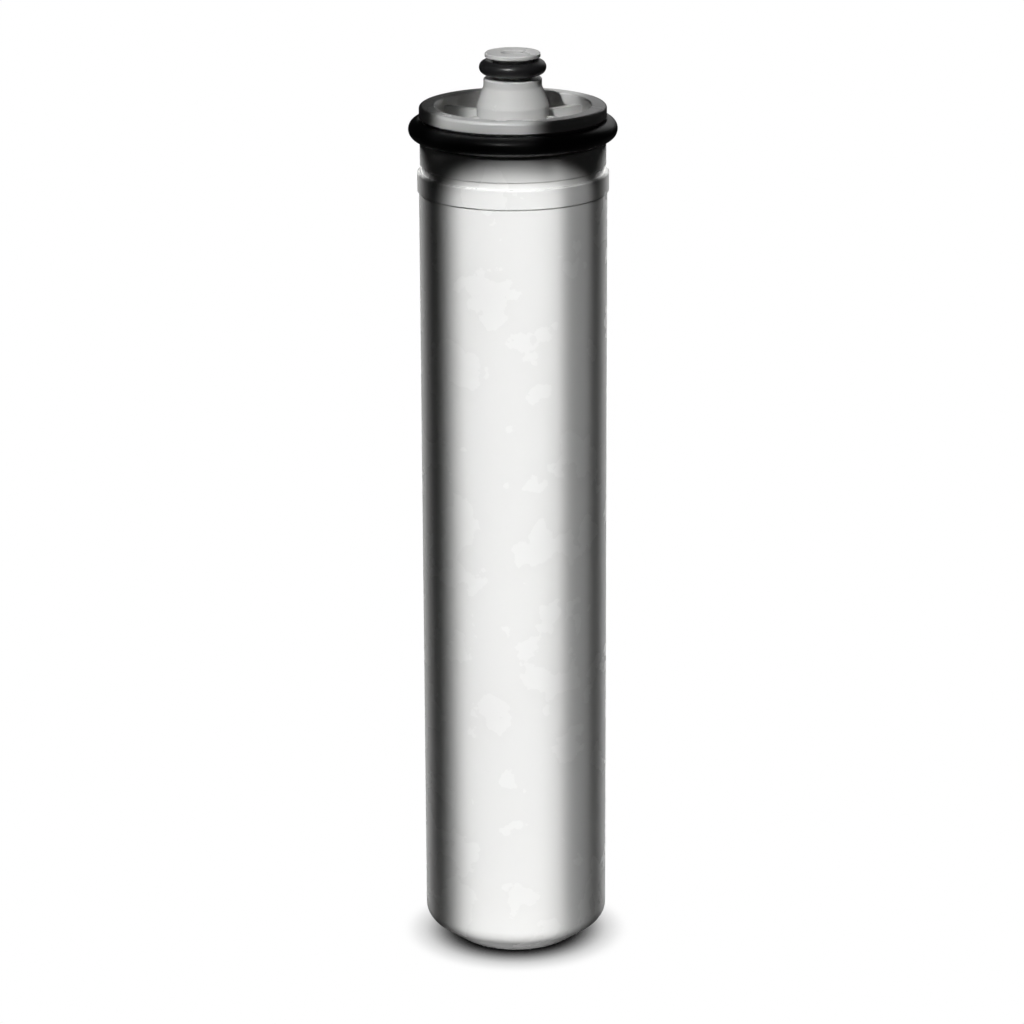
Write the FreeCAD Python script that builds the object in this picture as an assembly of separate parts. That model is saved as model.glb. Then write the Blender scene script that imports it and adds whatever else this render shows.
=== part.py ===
import FreeCAD, Part
import math
import os
from FreeCAD import Vector

# Encapsulated spiral-wound reverse osmosis cartridge.
# The frame stands on the foot plane (z = 0) with +Z up the cartridge's own axis. Millimetres.
# Water path: feed enters the inlets in the shell's base and climbs the feed spacers of the roll.
# What doesn't pass the membrane leaves through the ports in the end cap, above the body seal.
# What does pass runs inward to the perforated tube and leaves through the spigot of the adapter.

# Fits
slip_fit = 0.1            # radial gap between pieces that slip together
bonded_fit = 0.05         # radial gap filled by the bond between cap and shell
edge_bevel = 0.4          # broken edges of the moulded pieces

# Shell
body_radius = 34.0
shell_wall = 2.5
foot_radius = 22.0
foot_land = 3.0           # width of the ring that the cartridge stands on
base_rise = 8.5           # height of the corner where the base cone meets the wall
base_round = 6.0
recess_depth = 2.0        # hollow inside the foot ring
inlet_radius = 3.2
inlet_inset = 6.5         # from the foot ring's inner wall to the circle of inlets
notch_width = 7.0
notch_depth = 1.5
notch_count = 3
shell_rib_height = 9.5
shell_rib_thickness = 2.0
shell_rib_gap = 1.5       # from the tube's plug to the ends of the ribs
lip_step = 0.6            # how far the lip around the mouth stands out from the wall
lip_height = 7.0
spoke_count = 6           # shell ribs, plate spokes, cap ribs and the ports between them

# Roll
roll_length = 258.0
tube_radius = 8.5
tube_bore = 5.5
core_wrap_thickness = 0.6
element_wrap_thickness = 0.6
element_gap = 1.6         # bypass gap between the wrapped roll and the shell
leaf_count = 3
arcs_per_leaf = 9         # each arc of a leaf turns through one leaf_count-th of a circle
spacer_thickness = 0.8
perforation_radius = 1.2
perforation_pitch = 28.0
perforation_margin = 17.0

# End plates of the roll
lower_plate_thickness = 8.0
upper_plate_thickness = 6.0
plate_clearance = 0.3     # radial gap between plate and shell
plate_rim_width = 3.6
plate_hub_wall = 3.0
plate_ring_radius = 19.5
plate_ring_width = 1.6
spoke_thickness = 2.0
brine_groove_depth = 2.3
brine_groove_width = 4.0
brine_seal_play = 0.1     # axial play of the brine seal in its groove

# End cap
skirt_depth = 9.0
skirt_wall = 2.95
collar_inset = 0.4        # how far the collar and the rim lie inside the body's wall
collar_height = 11.3
weld_groove_depth = 0.6   # trap for the bead squeezed out between collar and shell
weld_groove_width = 2.0
body_gland_depth = 2.9
body_gland_width = 8.2
body_seal_section = 7.0
gland_wall = 2.7          # wall between the gland and the moat
rim_inset = 0.2
rim_height = 4.5
rim_round = 1.2
moat_depth = 8.0
cap_floor = 3.0
cap_hub_wall = 2.9
cap_hub_height = 2.5
cap_rib_thickness = 2.4
cap_rib_height = 5.0
port_radius = 3.5

# Permeate adapter, from its flange under the cap floor up to the tip of the spigot
flange_step = 3.0
adapter_flange_thickness = 2.5
spigot_flare = 2.5        # how much wider the barrel is than the spigot, in radius
barrel_height = 8.0       # above the cap floor
barrel_round = 1.5
cone_height = 7.0
cone_round = 2.0
spigot_radius = 10.5
spigot_land = 2.8
spigot_gland_depth = 3.4
spigot_gland_width = 7.7
spigot_seal_section = 5.0
tip_inset = 0.5
tip_height = 1.5
permeate_bore = 4.0
socket_wall = 2.9
socket_depth = 31.0
socket_end_gap = 1.0
socket_lead = 0.8

# Square-section seals on the tube and on its plug
small_seal_depth = 1.2    # depth of the grooves they sit in
small_seal_height = 2.0
small_groove_width = 2.4
first_seal_inset = 6.0    # from the socket's mouth to the lower groove's centre
tube_seal_spacing = 7.0
plug_flange_thickness = 2.0
plug_length = 12.0
plug_seal_inset = 6.0
plug_lead = 1.0

# Levels along the axis
floor_top = recess_depth + shell_wall
rib_top = floor_top + shell_rib_height
roll_bottom = rib_top + lower_plate_thickness
roll_top = roll_bottom + roll_length
skirt_bottom = roll_top + upper_plate_thickness
shell_top = skirt_bottom + skirt_depth
gland_bottom = shell_top + collar_height
gland_top = gland_bottom + body_gland_width
rim_top = gland_top + rim_height
moat_floor = rim_top - moat_depth
cap_floor_bottom = moat_floor - cap_floor
adapter_flange_bottom = cap_floor_bottom - adapter_flange_thickness
barrel_top = moat_floor + barrel_height
cone_top = barrel_top + cone_height
spigot_gland_bottom = cone_top + spigot_land
spigot_gland_top = spigot_gland_bottom + spigot_gland_width
tip_top = spigot_gland_top + tip_height
socket_end = barrel_top
socket_mouth = socket_end - socket_depth
tube_bottom = rib_top + plug_flange_thickness
tube_top = socket_end - socket_end_gap
plug_seal_height = tube_bottom + plug_seal_inset
tube_seal_heights = [socket_mouth + first_seal_inset + index * tube_seal_spacing for index in range(2)]
brine_seal_height = (rib_top + roll_bottom) / 2

# Radii that follow from other sizes
shell_bore = body_radius - shell_wall
recess_radius = foot_radius - foot_land
inlet_circle = recess_radius - inlet_inset
plate_radius = shell_bore - plate_clearance
brine_groove_radius = plate_radius - brine_groove_depth
skirt_radius = shell_bore - bonded_fit
skirt_bore = skirt_radius - skirt_wall
collar_radius = body_radius - collar_inset
weld_groove_radius = collar_radius - weld_groove_depth
body_gland_radius = collar_radius - body_gland_depth
rim_radius = body_radius - rim_inset
moat_radius = body_gland_radius - gland_wall
barrel_radius = spigot_radius + spigot_flare
adapter_flange_radius = barrel_radius + flange_step
spigot_gland_radius = spigot_radius - spigot_gland_depth
tip_radius = spigot_radius - tip_inset
cap_hole = barrel_radius + slip_fit
cap_hub_radius = cap_hole + cap_hub_wall
socket_bore = tube_radius + slip_fit
socket_radius = socket_bore + socket_wall
plate_hub_radius = socket_bore + plate_hub_wall
plug_radius = tube_bore - slip_fit
core_radius = tube_radius + core_wrap_thickness
wrap_radius = shell_bore - element_gap
wrap_bore = wrap_radius - element_wrap_thickness

# The base cone of the shell, as a slope and the slant of its wall
base_slope = base_rise / (body_radius - foot_radius)
base_slant = math.hypot(1, base_slope)

# The roll fills the room between core and wrap. Its leaves are tangent arcs about the corners of a
# regular polygon whose side is one leaf and one spacer, so that turned copies nest without a gap.
leaf_pitch = (wrap_bore - core_radius) / (arcs_per_leaf + 1)
leaf_thickness = leaf_pitch - spacer_thickness
leaf_angle = 2 * math.pi / leaf_count
centre_circle = leaf_pitch / (2 * math.sin(leaf_angle / 2))
start_offset = centre_circle * math.cos(leaf_angle / 2)
first_arc_radius = leaf_pitch / 2 + math.sqrt(core_radius**2 - start_offset**2)


def save(shape, node):
    """Write one node's solid."""
    shape.exportStep("parts/" + node + ".step")


def sharp(radius, height):
    """Outline corner left as it is."""
    return Vector(radius, 0, height), 0, False


def rounded(radius, height, rounding):
    """Outline corner drawn as a tangent arc."""
    return Vector(radius, 0, height), rounding, True


def bevelled(radius, height, size=edge_bevel):
    """Outline corner cut off straight."""
    return Vector(radius, 0, height), size, False


def corner_cut(back, corner, ahead):
    """Where an outline leaves one side of a corner, where it meets the other, and the edge between."""
    here, size, is_round = corner
    to_back = (back[0] - here).normalize()
    to_ahead = (ahead[0] - here).normalize()
    if size == 0:
        return here, here, None
    if not is_round:
        start = here + to_back * size
        end = here + to_ahead * size
        return start, end, Part.LineSegment(start, end)
    half_angle = to_back.getAngle(to_ahead) / 2
    reach = size / math.tan(half_angle)
    start = here + to_back * reach
    end = here + to_ahead * reach
    middle = here + (to_back + to_ahead).normalize() * (size / math.sin(half_angle) - size)
    return start, end, Part.Arc(start, middle, end)


def turned(corners):
    """Solid of revolution about Z from the corners of its half section."""
    cuts = []
    for index, corner in enumerate(corners):
        cuts.append(corner_cut(corners[index - 1], corner, corners[(index + 1) % len(corners)]))
    edges = []
    for index, cut in enumerate(cuts):
        start, end, edge = cut
        following = cuts[(index + 1) % len(cuts)][0]
        if edge:
            edges.append(edge.toShape())
        edges.append(Part.LineSegment(end, following).toShape())
    return Part.Face(Part.Wire(edges)).revolve(Vector(0, 0, 0), Vector(0, 0, 1), 360)


def ring(inner, outer, bottom, top):
    """Plain ring with square edges."""
    return turned([sharp(inner, bottom), sharp(outer, bottom), sharp(outer, top), sharp(inner, top)])


def ring_at(inner, outer, middle, width):
    """Plain ring centred on a level."""
    return ring(inner, outer, middle - width / 2, middle + width / 2)


def o_ring(gland_radius, section, bottom, top):
    """Round ring that sits on the bottom of its gland, halfway along it."""
    return Part.makeTorus(gland_radius + section / 2, section / 2, Vector(0, 0, (bottom + top) / 2))


def around(shape, count, offset=0.0):
    """Copies of a shape spaced evenly about Z, the first turned by offset degrees."""
    copies = []
    for index in range(count):
        copy = shape.copy()
        copy.rotate(Vector(0, 0, 0), Vector(0, 0, 1), offset + 360.0 * index / count)
        copies.append(copy)
    return copies


def web(outline, thickness):
    """Upright wall along -Y, from an outline of (radius, height) points."""
    points = [Vector(-thickness / 2, -radius, height) for radius, height in outline]
    return Part.Face(Part.makePolygon(points + points[:1])).extrude(Vector(thickness, 0, 0))


def bar(inner, outer, thickness, bottom, top):
    """Square-ended wall along -Y from one radius to another."""
    return web([(inner, bottom), (outer, bottom), (outer, top), (inner, top)], thickness)


def drilled_circle(radius, circle, bottom, top):
    """Upright drills on a circle, midway between the spokes."""
    drill = Part.makeCylinder(radius, top - bottom, Vector(0, -circle, bottom))
    return around(drill, spoke_count, 180.0 / spoke_count)


def base_height(radius, depth):
    """Height of a surface that lies depth inside the base cone, at a radius."""
    return (radius - foot_radius) * base_slope + depth * base_slant


def base_radius(height, depth):
    """Radius of a surface that lies depth inside the base cone, at a height."""
    return foot_radius + (height - depth * base_slant) / base_slope


def shell_rib():
    """One rib inside the base, rooted in the middle of the floor and of the wall."""
    root = shell_wall / 2
    start = tube_radius + shell_rib_gap
    wall_middle = body_radius - root
    floor_middle = floor_top - root
    return web([
        (start, floor_middle),
        (base_radius(floor_middle, root), floor_middle),
        (wall_middle, base_height(wall_middle, root)),
        (wall_middle, rib_top),
        (start, rib_top),
    ], shell_rib_thickness)


def shell():
    """Moulded bottle: lipped wall, coned base on a foot ring, ribs inside, inlets and foot notches."""
    lip_radius = body_radius + lip_step
    lip_bottom = shell_top - lip_height
    body = turned([
        sharp(0, recess_depth),
        sharp(recess_radius, recess_depth),
        sharp(recess_radius, 0),
        bevelled(foot_radius, 0),
        rounded(body_radius, base_rise, base_round),
        sharp(body_radius, lip_bottom - lip_step),
        sharp(lip_radius, lip_bottom),
        bevelled(lip_radius, shell_top),
        sharp(shell_bore, shell_top),
        rounded(shell_bore, base_height(shell_bore, shell_wall), base_round - shell_wall),
        sharp(base_radius(floor_top, shell_wall), floor_top),
        sharp(0, floor_top),
    ])
    inlets = drilled_circle(inlet_radius, inlet_circle, recess_depth / 2, floor_top + 1)
    notch = bar(inlet_circle, body_radius, notch_width, -1, notch_depth)
    notches = around(notch, notch_count, 180.0 / notch_count)
    return body.fuse(around(shell_rib(), spoke_count)).cut(inlets + notches).removeSplitter()


def end_cap():
    """Moulded cap: skirt in the shell, collar, seal gland, rim, and a ribbed moat with ports."""
    body = turned([
        sharp(skirt_bore, skirt_bottom),
        bevelled(skirt_radius, skirt_bottom),
        sharp(skirt_radius, shell_top),
        sharp(weld_groove_radius, shell_top),
        sharp(weld_groove_radius, shell_top + weld_groove_width),
        sharp(collar_radius, shell_top + weld_groove_width + weld_groove_depth),
        bevelled(collar_radius, gland_bottom),
        sharp(body_gland_radius, gland_bottom),
        sharp(body_gland_radius, gland_top),
        bevelled(rim_radius, gland_top),
        rounded(rim_radius, rim_top, rim_round),
        bevelled(moat_radius, rim_top),
        sharp(moat_radius, moat_floor),
        sharp(cap_hub_radius, moat_floor),
        bevelled(cap_hub_radius, moat_floor + cap_hub_height),
        sharp(cap_hole, moat_floor + cap_hub_height),
        sharp(cap_hole, cap_floor_bottom),
        sharp(skirt_bore, cap_floor_bottom),
    ])
    rib = bar(cap_hub_radius - cap_hub_wall / 2, moat_radius + gland_wall / 2, cap_rib_thickness,
              moat_floor - cap_floor / 2, moat_floor + cap_rib_height)
    port_circle = (cap_hub_radius + moat_radius) / 2
    ports = drilled_circle(port_radius, port_circle, cap_floor_bottom - 1, moat_floor + 1)
    return body.fuse(around(rib, spoke_count)).cut(ports).removeSplitter()


def permeate_adapter():
    """Spigot with its gland above the cap, and a socket for the tube below it."""
    return turned([
        sharp(socket_bore + socket_lead, socket_mouth),
        bevelled(socket_radius, socket_mouth),
        sharp(socket_radius, adapter_flange_bottom),
        bevelled(adapter_flange_radius, adapter_flange_bottom),
        sharp(adapter_flange_radius, cap_floor_bottom),
        sharp(barrel_radius, cap_floor_bottom),
        rounded(barrel_radius, barrel_top, barrel_round),
        rounded(spigot_radius, cone_top, cone_round),
        bevelled(spigot_radius, spigot_gland_bottom),
        sharp(spigot_gland_radius, spigot_gland_bottom),
        sharp(spigot_gland_radius, spigot_gland_top),
        sharp(tip_radius, spigot_gland_top),
        bevelled(tip_radius, tip_top),
        bevelled(permeate_bore, tip_top),
        sharp(permeate_bore, socket_end),
        sharp(socket_bore, socket_end),
        sharp(socket_bore, socket_mouth + socket_lead),
    ])


def small_seal(groove_radius, bore, height):
    """Square-section seal pressed between its groove and the bore around it."""
    return ring_at(groove_radius, bore, height, small_seal_height)


def small_groove(radius, height):
    """Cutter for a small seal's groove in a round piece of this radius."""
    return ring_at(radius - small_seal_depth, radius + small_seal_depth, height, small_groove_width)


def perforations():
    """Cross drills through the tube, turned a quarter from one row to the next."""
    first = roll_bottom + perforation_margin
    room = roll_length - 2 * perforation_margin
    drills = []
    for row in range(int(room / perforation_pitch) + 1):
        across = Vector(row % 2, (row + 1) % 2, 0)
        start = Vector(0, 0, first + row * perforation_pitch) - across * 2 * tube_radius
        drills.append(Part.makeCylinder(perforation_radius, 4 * tube_radius, start, across))
    return drills


def permeate_tube():
    """Core tube, perforated under the leaves and grooved for its seals at the top."""
    grooves = [small_groove(tube_radius, height) for height in tube_seal_heights]
    return ring(tube_bore, tube_radius, tube_bottom, tube_top).cut(perforations() + grooves)


def tube_plug():
    """Plug that closes the tube's lower end."""
    body = turned([
        sharp(0, rib_top),
        bevelled(tube_radius, rib_top),
        sharp(tube_radius, tube_bottom),
        sharp(plug_radius, tube_bottom),
        bevelled(plug_radius, tube_bottom + plug_length, plug_lead),
        sharp(0, tube_bottom + plug_length),
    ])
    return body.cut(small_groove(plug_radius, plug_seal_height))


def plate(bottom, top):
    """Anti-telescoping plate: rim, hub around the tube, one ring between, and spokes."""
    rim_bore = plate_radius - plate_rim_width
    rim = ring(rim_bore, plate_radius, bottom, top)
    hub = ring(socket_bore, plate_hub_radius, bottom, top)
    half = plate_ring_width / 2
    middle = ring(plate_ring_radius - half, plate_ring_radius + half, bottom, top)
    spoke_start = plate_hub_radius - plate_hub_wall / 2
    spoke_end = rim_bore + plate_rim_width / 2
    spoke = bar(spoke_start, spoke_end, spoke_thickness, bottom, top)
    return rim.fuse([hub, middle] + around(spoke, spoke_count)).removeSplitter()


def lower_plate():
    """Plate under the roll, grooved for the brine seal."""
    groove = ring_at(brine_groove_radius, body_radius, brine_seal_height, brine_groove_width)
    return plate(rib_top, roll_bottom).cut(groove)


def brine_seal():
    """Cup seal around the lower plate, its lips turned down against the feed."""
    half = brine_groove_width / 2 - brine_seal_play
    low = brine_seal_height - half
    high = brine_seal_height + half
    lip = (shell_bore - brine_groove_radius) / 4
    return turned([
        sharp(brine_groove_radius, low),
        sharp(brine_groove_radius + lip, low),
        sharp((brine_groove_radius + shell_bore) / 2, brine_seal_height),
        sharp(shell_bore - lip, low),
        sharp(shell_bore, low),
        sharp(plate_radius, high),
        sharp(brine_groove_radius, high),
    ])


def spiral_edges(shift):
    """Tangent arcs of a leaf's inner face, moved outward by shift."""
    edges = []
    for index in range(arcs_per_leaf):
        centre_angle = index * leaf_angle
        centre = Vector(math.cos(centre_angle), math.sin(centre_angle), 0) * centre_circle
        radius = first_arc_radius + index * leaf_pitch + shift
        points = []
        for part in (-0.5, 0.0, 0.5):
            angle = centre_angle - math.pi / 2 + part * leaf_angle
            points.append(centre + Vector(math.cos(angle), math.sin(angle), 0) * radius)
        edges.append(Part.Arc(points[0], points[1], points[2]).toShape())
    return edges


def wound_sheet(index, inner_shift, outer_shift):
    """One wound sheet of the roll, the index-th of its kind."""
    inner = spiral_edges(inner_shift)
    outer = spiral_edges(outer_shift)
    start = Part.LineSegment(inner[0].firstVertex(True).Point, outer[0].firstVertex(True).Point)
    end = Part.LineSegment(inner[-1].lastVertex(True).Point, outer[-1].lastVertex(True).Point)
    wire = Part.Wire(Part.__sortEdges__(inner + outer + [start.toShape(), end.toShape()]))
    sheet = Part.Face(wire).extrude(Vector(0, 0, roll_length))
    sheet.translate(Vector(0, 0, roll_bottom))
    sheet.rotate(Vector(0, 0, 0), Vector(0, 0, 1), index * 360.0 / leaf_count)
    return sheet


def main():
    os.makedirs("parts", exist_ok=True)
    save(shell(), "shell")
    save(end_cap(), "end_cap")
    body_seal = o_ring(body_gland_radius, body_seal_section, gland_bottom, gland_top)
    save(body_seal, "body_seal")
    save(permeate_adapter(), "permeate_adapter")
    spigot_seal = o_ring(spigot_gland_radius, spigot_seal_section, spigot_gland_bottom, spigot_gland_top)
    save(spigot_seal, "spigot_seal")
    save(permeate_tube(), "permeate_tube")
    save(tube_plug(), "tube_plug")
    save(small_seal(plug_radius - small_seal_depth, tube_bore, plug_seal_height), "plug_seal")
    for name, height in zip(("lower_tube_seal", "upper_tube_seal"), tube_seal_heights):
        save(small_seal(tube_radius - small_seal_depth, socket_bore, height), name)
    save(lower_plate(), "lower_plate")
    save(plate(roll_top, skirt_bottom), "upper_plate")
    save(brine_seal(), "brine_seal")
    save(ring(tube_radius, core_radius, roll_bottom, roll_top), "core_wrap")
    save(ring(wrap_bore, wrap_radius, roll_bottom, roll_top), "element_wrap")
    for index in range(leaf_count):
        save(wound_sheet(index, 0, leaf_thickness), "membrane_leaf_" + str(index + 1))
        save(wound_sheet(index, leaf_thickness, leaf_pitch), "feed_spacer_" + str(index + 1))


main()
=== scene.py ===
import math

import bpy
from mathutils import Matrix, Vector

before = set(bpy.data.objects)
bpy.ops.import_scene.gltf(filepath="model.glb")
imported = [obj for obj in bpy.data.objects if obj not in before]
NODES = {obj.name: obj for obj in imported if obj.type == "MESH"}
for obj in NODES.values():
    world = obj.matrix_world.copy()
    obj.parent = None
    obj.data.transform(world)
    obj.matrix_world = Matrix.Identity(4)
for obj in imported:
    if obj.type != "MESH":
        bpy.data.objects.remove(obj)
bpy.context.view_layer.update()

# Reverse osmosis membrane element: materials, stage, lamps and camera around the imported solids.
# Metres, degrees and watts. The front of the element faces -Y.
SCENE = bpy.context.scene

# Materials
COLOUR_SCALE = 14         # noise that shifts a moulding's colour
COLOUR_DETAIL = 4
GLOSS_SCALE = 60          # noise that shifts its roughness
GLOSS_DETAIL = 5
GRAIN_SCALE = 900         # fine surface grain
GRAIN_DETAIL = 2
GRAIN_DEPTH = 0.00002
GRAIN_STRENGTH = 0.25
RUBBER_GRAIN_SCALE = 700
RUBBER_GRAIN_DEPTH = 0.00004
NOISE_RANGE = (0.3, 0.7)  # most of a noise's values lie between these

# Stage
FLOOR_SIZE = 6
FLOOR_COLOUR = 0.35       # grey that the floor reflects onto the element
SHADOW_REACH = 0.020
SHADOW_RANGE = (0.15, 0.8)  # openness at which the floor turns black, and fully white
SHADOW_SAMPLES = 24
FILL_STRENGTH = 0.008
WHITE_STRENGTH = 1.0

# Lamps. A beam is parallel, as wide and high as its size, with edges that soften with distance.
BODY_RADIUS = 0.034
BEAM_SPREAD = 1.0
BEAMS = (
    # name, azimuth left of the front, elevation, aim, (width, height), watts, distance
    ("key", 0, 38, (-0.00325, -BODY_RADIUS, 0.145), (0.0385, 0.246), 0.0387, 0.9),
    ("key_right", 0, 38, (0.021, -0.028, 0.145), (0.014, 0.246), 0.0046, 0.5),
    ("cap_key", 20, 42, (-0.002, -0.005, 0.322), (0.036, 0.050), 0.004, 0.7),
    ("left_back", 120, 40, (-0.0165, 0.0095, 0.150), (0.050, 0.225), 0.0400, 0.9),
    ("right_back", -120, 40, (0.0165, 0.0095, 0.150), (0.050, 0.225), 0.0400, 0.9),
)
BACK_PLACE = (0.35, 1.1, 0.7)
BACK_AIM = (0, 0, 0.17)
BACK_SIZE = (0.8, 0.6)
BACK_WATTS = 1.0
BACK_SPREAD = 180.0

# Camera
CAMERA_PLACE = (-0.0009, -1.402, 0.596)
CAMERA_PITCH_DOWN = 17.05
CAMERA_ROLL = -0.24
LENS_MM = 139.3
SENSOR_MM = 36


# ---------------------------------------------------------------- materials
def new_material(name):
    """Empty node material with a Principled shader wired to its output."""
    material = bpy.data.materials.new(name)
    material.use_nodes = True
    tree = material.node_tree
    tree.nodes.clear()
    output = tree.nodes.new("ShaderNodeOutputMaterial")
    shader = tree.nodes.new("ShaderNodeBsdfPrincipled")
    tree.links.new(shader.outputs["BSDF"], output.inputs["Surface"])
    return material, tree, shader


def noise(tree, scale, detail):
    """Noise in the object's own coordinates."""
    coords = tree.nodes.new("ShaderNodeTexCoord")
    texture = tree.nodes.new("ShaderNodeTexNoise")
    texture.inputs["Scale"].default_value = scale
    texture.inputs["Detail"].default_value = detail
    tree.links.new(coords.outputs["Object"], texture.inputs["Vector"])
    return texture.outputs["Fac"]


def mapped(tree, value, source, target):
    """Map a value from one range to another, held at the ends."""
    node = tree.nodes.new("ShaderNodeMapRange")
    node.inputs["From Min"].default_value, node.inputs["From Max"].default_value = source
    node.inputs["To Min"].default_value, node.inputs["To Max"].default_value = target
    tree.links.new(value, node.inputs["Value"])
    return node.outputs["Result"]


def tint(tree, value, low, high):
    """Colour between two by a 0-1 value."""
    node = tree.nodes.new("ShaderNodeMix")
    node.data_type = "RGBA"
    node.inputs["A"].default_value = (*low, 1)
    node.inputs["B"].default_value = (*high, 1)
    tree.links.new(value, node.inputs["Factor"])
    return node.outputs["Result"]


def bump(tree, shader, value, distance):
    """Surface grain from a 0-1 value."""
    node = tree.nodes.new("ShaderNodeBump")
    node.inputs["Strength"].default_value = GRAIN_STRENGTH
    node.inputs["Distance"].default_value = distance
    tree.links.new(value, node.inputs["Height"])
    tree.links.new(node.outputs["Normal"], shader.inputs["Normal"])


def moulded(name, low, high, rough, grain=GRAIN_SCALE, depth=GRAIN_DEPTH):
    """Plastic, rubber or cloth between two colours and two roughnesses, with a fine grain."""
    material, tree, shader = new_material(name)
    colour = tint(tree, noise(tree, COLOUR_SCALE, COLOUR_DETAIL), low, high)
    gloss = mapped(tree, noise(tree, GLOSS_SCALE, GLOSS_DETAIL), NOISE_RANGE, rough)
    tree.links.new(colour, shader.inputs["Base Color"])
    tree.links.new(gloss, shader.inputs["Roughness"])
    bump(tree, shader, noise(tree, grain, GRAIN_DETAIL), depth)
    return material


def finish_nodes():
    """Give every node of the frame its material."""
    white = moulded("white_plastic", (0.86, 0.86, 0.85), (0.90, 0.90, 0.885), (0.22, 0.30))
    cap = moulded("cap_plastic", (0.83, 0.83, 0.82), (0.88, 0.88, 0.865), (0.20, 0.30))
    rubber = moulded("seal_rubber", (0.012, 0.012, 0.013), (0.022, 0.022, 0.023), (0.28, 0.42),
                     RUBBER_GRAIN_SCALE, RUBBER_GRAIN_DEPTH)
    tube = moulded("tube_plastic", (0.74, 0.74, 0.70), (0.82, 0.82, 0.78), (0.35, 0.5))
    plate = moulded("plate_plastic", (0.15, 0.15, 0.16), (0.2, 0.2, 0.21), (0.4, 0.55))
    wrap = moulded("wrap_tape", (0.68, 0.70, 0.66), (0.76, 0.78, 0.74), (0.4, 0.6))
    cloth = moulded("membrane_cloth", (0.8, 0.79, 0.74), (0.9, 0.89, 0.84), (0.8, 0.95))
    net = moulded("spacer_net", (0.82, 0.83, 0.84), (0.92, 0.93, 0.94), (0.4, 0.55))
    finishes = (
        (white, ("shell",)),
        (cap, ("end_cap", "permeate_adapter")),
        (rubber, ("body_seal", "spigot_seal", "plug_seal", "lower_tube_seal", "upper_tube_seal",
                  "brine_seal")),
        (tube, ("permeate_tube", "tube_plug")),
        (plate, ("lower_plate", "upper_plate")),
        (wrap, ("element_wrap",)),
        (cloth, ("core_wrap", "membrane_leaf_1", "membrane_leaf_2", "membrane_leaf_3")),
        (net, ("feed_spacer_1", "feed_spacer_2", "feed_spacer_3")),
    )
    for material, names in finishes:
        for name in names:
            slots = NODES[name].data.materials
            for index in range(len(slots)):
                slots[index] = material


# ---------------------------------------------------------------- stage
def camera_only(tree, lighting, seen):
    """One shader for the camera, and another for the light that reaches the element."""
    path = tree.nodes.new("ShaderNodeLightPath")
    mix = tree.nodes.new("ShaderNodeMixShader")
    tree.links.new(path.outputs["Is Camera Ray"], mix.inputs["Fac"])
    tree.links.new(lighting, mix.inputs[1])
    tree.links.new(seen, mix.inputs[2])
    return mix.outputs["Shader"]


def floor_material():
    """White to the camera, with the element's contact shadow."""
    material = bpy.data.materials.new("floor_white")
    material.use_nodes = True
    tree = material.node_tree
    tree.nodes.clear()
    near = tree.nodes.new("ShaderNodeAmbientOcclusion")
    near.inputs["Distance"].default_value = SHADOW_REACH
    near.samples = SHADOW_SAMPLES
    seen = tree.nodes.new("ShaderNodeEmission")
    seen.inputs["Color"].default_value = (1, 1, 1, 1)
    tree.links.new(mapped(tree, near.outputs["AO"], SHADOW_RANGE, (0, 1)), seen.inputs["Strength"])
    real = tree.nodes.new("ShaderNodeBsdfDiffuse")
    real.inputs["Color"].default_value = (FLOOR_COLOUR, FLOOR_COLOUR, FLOOR_COLOUR, 1)
    output = tree.nodes.new("ShaderNodeOutputMaterial")
    surface = camera_only(tree, real.outputs["BSDF"], seen.outputs["Emission"])
    tree.links.new(surface, output.inputs["Surface"])
    return material


def add_floor():
    """Plain floor under the foot."""
    bpy.ops.mesh.primitive_plane_add(size=FLOOR_SIZE, location=(0, 0, 0))
    floor = bpy.context.object
    floor.name = "floor"
    floor.data.materials.append(floor_material())


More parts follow.
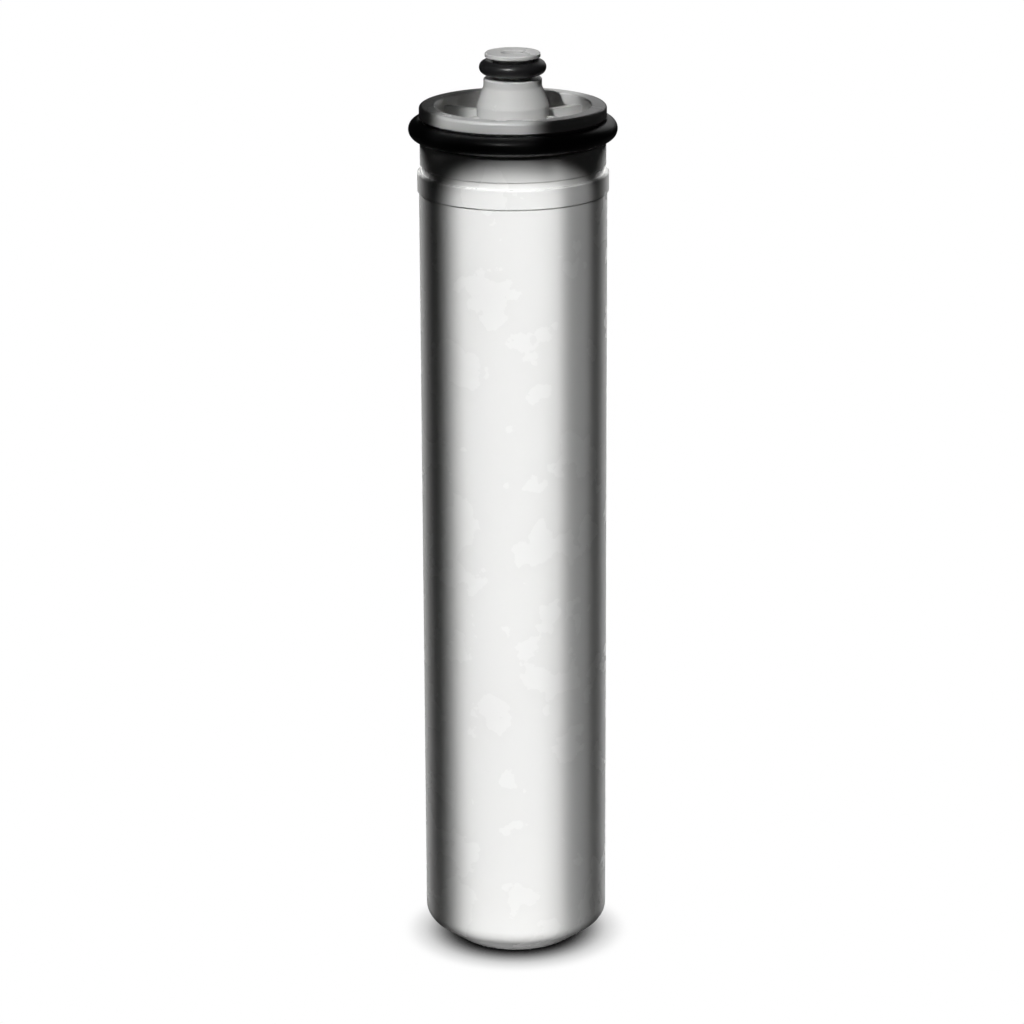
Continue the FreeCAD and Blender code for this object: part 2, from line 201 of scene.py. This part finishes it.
def background(tree, strength):
    """White background light of a strength."""
    node = tree.nodes.new("ShaderNodeBackground")
    node.inputs["Color"].default_value = (1, 1, 1, 1)
    node.inputs["Strength"].default_value = strength
    return node.outputs["Background"]


def add_world():
    """White behind the element, and a weak fill light on it."""
    world = bpy.data.worlds.new("studio")
    SCENE.world = world
    world.use_nodes = True
    tree = world.node_tree
    tree.nodes.clear()
    output = tree.nodes.new("ShaderNodeOutputWorld")
    surface = camera_only(tree, background(tree, FILL_STRENGTH), background(tree, WHITE_STRENGTH))
    tree.links.new(surface, output.inputs["Surface"])


# ---------------------------------------------------------------- lamps
def area(name, place, aim, size, watts, spread_angle):
    """Rectangular lamp at place, facing aim."""
    light = bpy.data.lights.new(name, "AREA")
    light.shape = "RECTANGLE"
    light.size, light.size_y = size
    light.energy = watts
    light.spread = math.radians(spread_angle)
    lamp = bpy.data.objects.new(name, light)
    SCENE.collection.objects.link(lamp)
    lamp.location = place
    lamp.rotation_euler = (Vector(aim) - Vector(place)).to_track_quat("-Z", "Y").to_euler()


def beam(name, azimuth, elevation, aim, size, watts, distance):
    """Parallel beam towards aim, from azimuth left of the front and elevation up."""
    turn, rise = math.radians(azimuth), math.radians(elevation)
    away = Vector((-math.sin(turn) * math.cos(rise), -math.cos(turn) * math.cos(rise), math.sin(rise)))
    area(name, Vector(aim) + away * distance, aim, size, watts, BEAM_SPREAD)


# ---------------------------------------------------------------- camera
def add_camera():
    """Camera at the picture's viewing angle."""
    data = bpy.data.cameras.new("camera")
    data.lens = LENS_MM
    data.sensor_width = SENSOR_MM
    camera = bpy.data.objects.new("camera", data)
    SCENE.collection.objects.link(camera)
    camera.matrix_world = (
        Matrix.Translation(CAMERA_PLACE)
        @ Matrix.Rotation(math.radians(90 - CAMERA_PITCH_DOWN), 4, "X")
        @ Matrix.Rotation(math.radians(CAMERA_ROLL), 4, "Z")
    )
    bpy.context.scene.camera = camera


finish_nodes()
add_floor()
add_world()
for settings in BEAMS:
    beam(*settings)
area("back", BACK_PLACE, BACK_AIM, BACK_SIZE, BACK_WATTS, BACK_SPREAD)
add_camera()
SCENE.view_settings.view_transform = "Standard"
